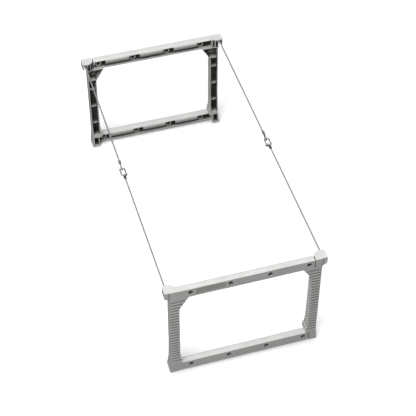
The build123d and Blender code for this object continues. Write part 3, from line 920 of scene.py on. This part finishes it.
@dataclass
class WireRope:
    """A rope of six strands laid round a straight or bent route, each strand of six wires."""

    diameter: float = 4 * MM
    strands: int = 6
    wires: int = 6
    lay: float = 26 * MM
    wire_lay: float = 10 * MM
    steps: int = 26
    points_per_wire: int = 3

    def centreline(self, route: Sequence[Vector]) -> list[Vector]:
        """The points down the middle of a route's NURBS spline.

        Args:
            route: The route's points.

        Returns:
            The spline's own points.
        """
        data = bpy.data.curves.new("rope_route", "CURVE")
        data.dimensions = "3D"
        spline = data.splines.new("NURBS")
        spline.points.add(len(route) - 1)
        for point, place in zip(spline.points, route):
            point.co = (*place, 1.0)
        spline.order_u = 3
        spline.use_endpoint_u = True
        bare = bpy.data.objects.new("rope_route", data)
        mesh = bpy.data.meshes.new_from_object(bare)
        points = [vertex.co.copy() for vertex in mesh.vertices]
        bpy.data.objects.remove(bare)
        bpy.data.meshes.remove(mesh)
        return points

    def resampled(self, line: Sequence[Vector], step: float) -> Iterator[tuple[float, Vector, Vector]]:
        """Walks along a line in even steps.

        Args:
            line: The line's points.
            step: The length of a step.

        Yields:
            The length walked, the point and the direction there.
        """
        lengths = [(b - a).length for a, b in zip(line, line[1:])]
        total = sum(lengths)
        count = max(2, round(total / step))
        reached, index = 0.0, 0
        for i in range(count + 1):
            walked = total * i / count
            while index < len(lengths) - 1 and walked > reached + lengths[index]:
                reached += lengths[index]
                index += 1
            start, end = line[index], line[index + 1]
            yield walked, start.lerp(end, (walked - reached) / lengths[index]), (end - start).normalized()

    def section(self) -> bpy.types.Object:
        """The outline of one strand: a round of wires.

        Returns:
            The closed curve.
        """
        strand = self.diameter / 6
        wire = strand / 3
        data = bpy.data.curves.new("strand_section", "CURVE")
        spline = data.splines.new("POLY")
        count = self.wires * self.points_per_wire
        spline.points.add(count - 1)
        for i, point in enumerate(spline.points):
            turn = 2 * math.pi * i / count
            crest = (i % self.points_per_wire) != 0
            radius = strand - (0.0 if crest else wire * 0.55)
            point.co = (radius * math.cos(turn), radius * math.sin(turn), 0.0, 1.0)
        spline.use_cyclic_u = True
        section = bpy.data.objects.new("strand_section", data)
        bpy.context.scene.collection.objects.link(section)
        return section

    def build(self, route: Sequence[Vector]) -> tuple[bpy.types.Object, list[Vector]]:
        """Lays the strands round a route.

        Args:
            route: The route's points.

        Returns:
            The rope's mesh, and the points that it follows.
        """
        line = self.centreline(route)
        walk = list(self.resampled(line, self.lay / self.steps))
        side = walk[0][2].orthogonal().normalized()
        data = bpy.data.curves.new("rope", "CURVE")
        data.dimensions = "3D"
        data.bevel_mode = "OBJECT"
        data.bevel_object = self.section()
        data.use_fill_caps = True
        offset = self.diameter / 3
        for strand in range(self.strands):
            spline = data.splines.new("POLY")
            spline.points.add(len(walk) - 1)
            for point, (walked, place, heading) in zip(spline.points, walk):
                turn = 2 * math.pi * (walked / self.lay + strand / self.strands)
                arm = (side - heading * side.dot(heading)).normalized()
                point.co = (*(place + Quaternion(heading, turn) @ arm * offset), 1.0)
                point.tilt = -2 * math.pi * walked / self.wire_lay
        rope = bpy.data.objects.new("rope", data)
        bpy.context.scene.collection.objects.link(rope)
        hold(rope)
        bpy.ops.object.convert(target="MESH")
        bpy.data.objects.remove(data.bevel_object)
        rope = bpy.context.object
        mend(rope, 0.0005 * MM)
        smooth(rope, 50.0)
        return rope, line


@dataclass
class RopeFittings(SubAssembly):
    """The fittings of the right rope. The left rope has their mirror images."""

    eye_round: float = 0.5 * MM
    shank_rings: int = 3
    sleeve_bands: int = 3
    thumb_grooves: int = 4
    bore_gap: float = 0.08 * MM

    def terminal(self, node: str) -> bpy.types.Object:
        """A swaged end eye: a flat round eye on a shank with rolled rings.

        Args:
            node: The CAD node, on the right rear.

        Returns:
            The end eye.
        """
        low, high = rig.box(node)
        thick, shank, radius = 5.0 * MM, 3.1 * MM, (high.z - low.z) / 2
        entry, chamfer, bore_radius = 2.3 * MM, 0.6 * MM, 2.5 * MM
        start = Vector(((low.x + high.x) / 2, low.y, (low.z + high.z) / 2))
        eye = Vector((start.x, high.y - radius, start.z))
        stations = [(0.0, entry), (0.0, shank - chamfer), (chamfer, shank)]
        for ring in range(self.shank_rings):
            stations += groove((2.2 + 2.1 * ring) * MM, 1.2 * MM, 0.25 * MM, shank, 0.22 * MM)
        stations += [(9.6 * MM, shank), (11.5 * MM, shank - 0.45 * MM), (14.5 * MM, shank - 0.6 * MM)]
        piece = turned(start, Y_AXIS, stations, 40)
        disc = rod(eye - X_AXIS * thick / 2, X_AXIS, 0.0, thick, radius, 56)
        soften(disc, self.eye_round, 3)
        combine(piece, disc, "UNION")
        bore = rod(eye - X_AXIS * thick, X_AXIS, 0.0, 2 * thick, bore_radius + self.bore_gap, 40)
        combine(piece, bore, "DIFFERENCE")
        soften(piece, 0.18 * MM, 2, 40.0)
        return piece

    def sleeve(self, node: str) -> bpy.types.Object:
        """A crimped sleeve with pressed bands and rolled ends.

        Args:
            node: The CAD node.

        Returns:
            The sleeve.
        """
        low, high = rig.box(node)
        radius, length = (high.z - low.z) / 2, high.y - low.y
        origin = Vector(((low.x + high.x) / 2, low.y, (low.z + high.z) / 2))
        lip, end_land, band_gap, mouth_depth = 0.7 * MM, 1.6 * MM, 0.7 * MM, 0.25 * MM
        rim, mouth = radius - lip - 0.2 * MM, radius - 1.5 * MM
        stations = [(mouth_depth, mouth), (0.0, rim), (lip, radius)]
        pitch = (length - 2 * end_land) / self.sleeve_bands
        for band in range(self.sleeve_bands):
            at = end_land + band * pitch + band_gap / 2
            stations += groove(at, pitch - band_gap, 0.3 * MM, radius, 0.32 * MM)
        stations += [(length - lip, radius), (length, rim), (length - mouth_depth, mouth)]
        piece = turned(origin, Y_AXIS, stations, 40)
        smooth(piece, 30.0)
        return piece

    def thimble(self, node: str) -> bpy.types.Object:
        """A solid thimble: a pear-shaped eye with a pear-shaped opening and sunk sides.

        Args:
            node: The CAD node.

        Returns:
            The thimble.
        """
        low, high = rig.box(node)
        x, z = (low.x + high.x) / 2, (low.z + high.z) / 2
        thick, body = high.x - low.x, (high.z - low.z) / 2
        nose_bore, belly_bore, wall, belly = 1.98 * MM, 3.8 * MM, 2.8 * MM, 10.0 * MM
        neck_length, neck_half, rim, sink = 0.7 * MM, 3.0 * MM, 0.8 * MM, 0.3 * MM

        def disc(y: float, radius: float, width: float) -> bpy.types.Object:
            """A disc across the thimble."""
            return rod(Vector((x - width / 2, y, z)), X_AXIS, 0.0, width, radius, 56)

        neck = block(Vector((low.x, high.y - neck_length, z - neck_half)),
                     Vector((high.x, high.y, z + neck_half)))
        piece = hulled([disc(0.0, nose_bore + wall, thick), disc(belly, body, thick), neck])
        opening = hulled([disc(0.0, nose_bore, 3 * thick), disc(belly, belly_bore, 3 * thick)])
        combine(piece, opening, "DIFFERENCE")
        for way in (1, -1):
            select_faces(piece, lambda face: face.normal.x * way > 0.9)
            bpy.ops.mesh.inset(thickness=rim)
            bpy.ops.transform.translate(value=(-way * sink, 0, 0))
        deselect()
        soften(piece, 0.3 * MM, 3)
        return piece

    def hook(self, node: str) -> bpy.types.Object:
        """The snap hook: a round bar bent to a loop, with a fork for the gate and a hub.

        Args:
            node: The CAD node.

        Returns:
            The hook.
        """
        low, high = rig.box(node)
        bar, half_width, bend_radius, nose, foot = 1.9 * MM, 6 * MM, 3.5 * MM, 7 * MM, 24 * MM
        root = Vector((-3 * MM, -foot, 0))
        middle = Vector((high.x - bar - half_width, 0.0, (low.z + high.z) / 2))
        flat = half_width - bend_radius
        deselect()
        bpy.ops.mesh.primitive_circle_add(vertices=28, radius=bar, fill_type="NGON", rotation=facing(Y_AXIS),
                                          location=middle - Vector((half_width, nose, 0)))
        piece = settle(bpy.context.object, "hook")
        edit(piece)

        def run(across: float, along: float) -> None:
            """Draws the bar straight on."""
            bpy.ops.mesh.extrude_region_move(TRANSFORM_OT_translate={"value": (across, along, 0)})

        def bend(across: float, along: float) -> None:
            """Bends the bar a quarter turn to its right, about a centre measured from the middle."""
            bpy.ops.mesh.spin(steps=9, angle=math.radians(90), center=middle + Vector((across, along, 0)),
                              axis=Z_AXIS)

        run(0, nose - bend_radius)
        bend(-flat, -bend_radius)
        run(2 * flat, 0)
        bend(flat, -bend_radius)
        run(0, 2 * bend_radius - foot)
        bend(flat, bend_radius - foot)
        run(root.x - flat, 0)
        mend(piece)
        pivot = middle + Vector((-half_width, 3 * MM - foot, 0))
        cheek, slot_half = 3.2 * MM, 1.9 * MM
        fork = hulled([rod(place, Z_AXIS, -cheek, cheek, cheek, 40) for place in (pivot, middle + root)])
        soften(fork, 0.45 * MM, 3)
        combine(piece, fork, "UNION")
        hub_start = 22.8 * MM
        hub = [(0.0, 2.2 * MM), (0.5 * MM, 2.9 * MM), (1.1 * MM, 3.2 * MM), (3.9 * MM, 3.2 * MM),
               (4.4 * MM, 2.9 * MM), (5.2 * MM, 2.9 * MM)]
        combine(piece, turned(middle - Y_AXIS * hub_start, -Y_AXIS, hub, 40), "UNION")
        for cutter in self.gate_room(pivot, slot_half):
            combine(piece, cutter, "DIFFERENCE")
        soften(piece, 0.14 * MM, 2, 40.0)
        return piece

    def gate_room(self, pivot: Vector, slot_half: float) -> list[bpy.types.Object]:
        """What is cut from the hook's fork, so that the gate can turn in it.

        Args:
            pivot: The middle of the gate's pin.
            slot_half: Half the height of the fork's slot.

        Returns:
            The room of the knuckle, the room ahead of it and beside it, and the pin's hole.
        """
        knuckle, ahead, aside, pin_radius, past = 2.8 * MM, 3.6 * MM, 2.85 * MM, 0.92 * MM, 4 * MM
        return [
            rod(pivot, Z_AXIS, -slot_half, slot_half, knuckle, 40),
            block(pivot + Vector((-knuckle, 0, -slot_half)), pivot + Vector((knuckle, ahead, slot_half))),
            block(pivot + Vector((-ahead, -aside, -slot_half)), pivot + Vector((0, aside, slot_half))),
            rod(pivot, Z_AXIS, -past, past, pin_radius, 24),
        ]

    def gate(self, node: str) -> bpy.types.Object:
        """The snap gate: a turned bar with thumb grooves on a half-height knuckle.

        Args:
            node: The CAD node.

        Returns:
            The gate.
        """
        low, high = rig.box(node)
        knuckle, bar, knuckle_height = 2.5 * MM, 1.6 * MM, 1.75 * MM
        spring_room, pin_room, past = 0.15 * MM, 0.98 * MM, 4 * MM
        pivot = Vector((low.x + knuckle, low.y + knuckle, high.z - bar))
        length = high.y - pivot.y
        stations = [(0.3 * MM, bar * 0.8), (0.9 * MM, bar)]
        for thumb in range(self.thumb_grooves):
            stations += groove((5.2 + 1.2 * thumb) * MM, 0.7 * MM, 0.2 * MM, bar, 0.22 * MM)
        stations += [(length - 0.7 * MM, bar), (length - 0.2 * MM, bar * 0.85), (length, bar * 0.6)]
        piece = turned(pivot, Y_AXIS, stations, 32)
        combine(piece, rod(pivot, Z_AXIS, -knuckle_height, 0.0, knuckle, 40), "UNION")
        combine(piece, rod(pivot, Z_AXIS, 0.0, past, knuckle + spring_room, 40), "DIFFERENCE")
        combine(piece, rod(pivot, Z_AXIS, -past, past, pin_room, 24), "DIFFERENCE")
        soften(piece, 0.12 * MM, 2, 40.0)
        return piece

    def rivet(self, node: str) -> bpy.types.Object:
        """The gate's pin, riveted over at both ends.

        Args:
            node: The CAD node.

        Returns:
            The rivet.
        """
        low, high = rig.box(node)
        middle, radius, half = (low + high) / 2, (high.x - low.x) / 2, (high.z - low.z) / 2
        dome = [(half + 0.42 * MM, 0.35 * MM), (half + 0.36 * MM, 0.9 * MM), (half + 0.16 * MM, 1.35 * MM),
                (half + 0.01 * MM, 1.5 * MM), (half + 0.01 * MM, radius)]
        stations = [(-along, size) for along, size in dome] + list(reversed(dome))
        piece = turned(middle, Z_AXIS, stations, 28)
        smooth(piece, 45.0)
        return piece

    def spring(self, node: str) -> bpy.types.Object:
        """The gate's torsion spring: a coil round the pin with a leg at each end.

        Args:
            node: The CAD node.

        Returns:
            The spring.
        """
        low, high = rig.box(node)
        middle = (low + high) / 2
        wire, leg, turns = 0.24 * MM, 1.5 * MM, 3
        coil, rise = (high.x - low.x) / 2 - wire, 2.1 * wire
        deselect()
        bpy.ops.mesh.primitive_circle_add(vertices=10, radius=wire, fill_type="NGON", rotation=facing(Y_AXIS),
                                          location=(coil, 0, 0))
        piece = settle(bpy.context.object, "spring")
        edit(piece)
        bpy.ops.mesh.delete(type="ONLY_FACE")
        deselect()
        apply(piece, "SCREW", angle=2 * math.pi, screw_offset=rise, iterations=turns, steps=24,
              render_steps=24, axis="Z", use_smooth_shade=True)
        for height, way in ((0.0, -1), (rise * turns, 1)):
            edit(piece, select=False)
            bpy.ops.object.mode_set(mode="OBJECT")
            for vertex in piece.data.vertices:
                near = (vertex.co - Vector((coil, 0, height))).length < 1.3 * wire
                vertex.select = near and abs(vertex.co.y) < 0.05 * MM
            bpy.ops.object.mode_set(mode="EDIT")
            bpy.ops.mesh.select_mode(type="VERT")
            bpy.ops.mesh.edge_face_add()
            bpy.ops.mesh.extrude_region_move(TRANSFORM_OT_translate={"value": Y_AXIS * way * leg})
        mend(piece)
        piece.location = middle - Z_AXIS * rise * turns / 2
        settle(piece, "spring")
        smooth(piece, 50.0)
        return piece

    def build(self) -> None:
        """Makes the fittings of both ropes, the right ones by hand and the left ones mirrored."""
        makers: tuple[tuple[str, str, Callable[[str], bpy.types.Object], PlatedMetal], ...] = (
            ("rear_end_eye", "rear_length", self.terminal, SWAGED),
            ("rear_ferrule", "rear_length", self.sleeve, SWAGED),
            ("thimble", "rear_length", self.thimble, FITTING),
            ("snap_hook", "front_length", self.hook, FITTING),
            ("snap_gate", "gate", self.gate, FITTING),
            ("gate_pin", "front_length", self.rivet, SCREW),
            ("gate_spring", "front_length", self.spring, SPRING),
            ("front_ferrule", "front_length", self.sleeve, SLEEVE),
        )
        for part, body, maker, finish in makers:
            right = maker(f"right_{part}")
            left = mirror_image(right, part, 0)
            for side, piece in ((Side.RIGHT, right), (Side.LEFT, left)):
                self.fit(side, part, body, piece, finish)
                if part == "rear_end_eye":
                    front = mirror_image(piece, part, 1)
                    self.fit(side, "front_end_eye", "front_length", front, finish)

    def fit(self, side: Side, part: str, body: str, piece: bpy.types.Object, finish: PlatedMetal) -> None:
        """Mounts one fitting on its side's body."""
        word = side.name.lower()
        self.mount(piece, f"{word}_{part}_metal", f"{word}_{part}", f"{word}_{body}", finish)


@dataclass
class TautRope(SubAssembly):
    """One half of a rope, pulled straight between its end eye and its ferrule."""

    side: Side
    end: End
    rope: WireRope = field(default_factory=WireRope)

    def build(self) -> None:
        across, height = 192 * MM * self.side.value, 298 * MM
        ends = {End.REAR: (402 * MM, 216 * MM, 30 * MM), End.FRONT: (-402 * MM, -220 * MM, -38 * MM)}
        route = [Vector((across, along, height)) for along in ends[self.end]]
        piece, line = self.rope.build(route)
        word, far = self.side.name.lower(), self.end.name.lower()
        node = f"{word}_{far}_rope"
        self.mount(piece, f"{node}_strands", node, f"{word}_{far}_length", ROPE)
        fittings = ("rear_ferrule", "thimble") if self.end is End.REAR else ("front_ferrule", "snap_hook")
        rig.cord(piece, exit=route[0], length=(route[-1] - route[0]).length, diameter=self.rope.diameter,
                far_end="fitting", stiffness="medium", lay="taut", path=line,
                with_pieces=[f"{word}_{fitting}_metal" for fitting in fittings])


# Studio


@dataclass(frozen=True)
class Softbox:
    """A round soft light that is aimed at the rack.

    Its azimuth and elevation are in degrees, as for Studio.direction(), its size in metres and its
    power in watts.
    """

    name: str
    azimuth: float
    elevation: float
    size: float
    power: float


@dataclass
class Studio:
    """A pale floor, a wide soft key light high above it, a soft fill in front and the camera."""

    floor_size: float = 14.0
    floor_colour: Colour = (0.99, 0.99, 0.99)
    key: Softbox = Softbox("key_softbox", azimuth=168.0, elevation=81.0, size=6.4, power=370.0)
    fill: Softbox = Softbox("fill_softbox", azimuth=-42.0, elevation=38.0, size=4.4, power=285.0)
    light_distance: float = 6.0
    sky_strength: float = 0.05
    aim: Point = (0.024, -0.038, 0.126)
    azimuth: float = -16.9
    elevation: float = 46.82
    roll: float = 0.27
    distance: float = 3.341
    lens: float = 109.6

    @staticmethod
    def direction(azimuth: float, elevation: float) -> Vector:
        """The way to something that stands at an azimuth and elevation, in degrees.

        Args:
            azimuth: Zero stands on the front side, and 90 at +X.
            elevation: The angle above the floor.

        Returns:
            A unit vector from the origin.
        """
        turn, lift = math.radians(azimuth), math.radians(elevation)
        return Vector((math.sin(turn) * math.cos(lift), -math.cos(turn) * math.cos(lift), math.sin(lift)))

    def build(self) -> None:
        """Makes the floor, the lights and the camera."""
        self.floor()
        self.lights()
        self.camera()

    def floor(self) -> None:
        """A large pale plane under the rack."""
        deselect()
        bpy.ops.mesh.primitive_plane_add(size=self.floor_size)
        floor = settle(bpy.context.object, "studio_floor")
        material, tree = new_material("pale_floor")
        place = tree.object_place()
        grain = tree.noise(place, 0.4, 2.0)
        colour = tree.mix(grain * 0.03, self.floor_colour, (0.9, 0.9, 0.9))
        tree.close(Base_Color=colour, Roughness=0.9, Specular_IOR_Level=0.0)
        floor.data.materials.append(material)
        floor.visible_diffuse = False
        floor.visible_glossy = False
        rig.stage(floor)

    def softbox(self, box: Softbox) -> None:
        """Hangs a soft light in its place."""
        light = bpy.data.lights.new(box.name, "AREA")
        light.shape = "DISK"
        light.size = box.size
        light.energy = box.power
        lamp = bpy.data.objects.new(box.name, light)
        away = self.direction(box.azimuth, box.elevation)
        lamp.location = away * self.light_distance
        lamp.rotation_euler = away.to_track_quat("Z", "Y").to_euler()
        bpy.context.scene.collection.objects.link(lamp)

    def lights(self) -> None:
        """A wide key light high up, a little behind, a fill in front to the left, and a faint even sky."""
        for box in (self.key, self.fill):
            self.softbox(box)
        world = bpy.data.worlds.new("studio_sky")
        bpy.context.scene.world = world
        tree = ShaderTree(world)
        sky = tree.node("Background", {}, {"Color": (1.0, 1.0, 1.0, 1.0), "Strength": self.sky_strength})
        tree.node("OutputWorld", {}, {"Surface": sky})

    def camera(self) -> None:
        """The camera, aimed at the middle of the rack."""
        back = self.direction(self.azimuth, self.elevation)
        data = bpy.data.cameras.new("camera")
        data.sensor_width = 36.0
        data.lens = self.lens
        camera = bpy.data.objects.new("camera", data)
        camera.location = Vector(self.aim) + back * self.distance
        level = (-back).to_track_quat("-Z", "Y")
        camera.rotation_mode = "QUATERNION"
        camera.rotation_quaternion = Quaternion(back, math.radians(self.roll)) @ level
        bpy.context.scene.collection.objects.link(camera)
        bpy.context.scene.camera = camera


def main() -> None:
    """Builds the rack and the studio, and writes the sizes of the CAD and visual models."""
    logging.basicConfig(level=logging.INFO, format="%(name)s: %(message)s")
    cad_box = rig.bounds()
    bpy.context.scene.view_settings.view_transform = "Standard"
    Studio().build()
    materials: dict[str, bpy.types.Material] = {}
    for end in End:
        EndFrame(materials, end).build()
    RopeFittings(materials).build()
    for side in Side:
        for end in End:
            TautRope(materials, side, end).build()
    boxes = {"cad": cad_box, "visual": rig.bounds()}
    with open(SIZE_FILE, "w") as file:
        json.dump({name: [list(corner) for corner in corners] for name, corners in boxes.items()}, file)


if __name__ == "__main__":
    main()
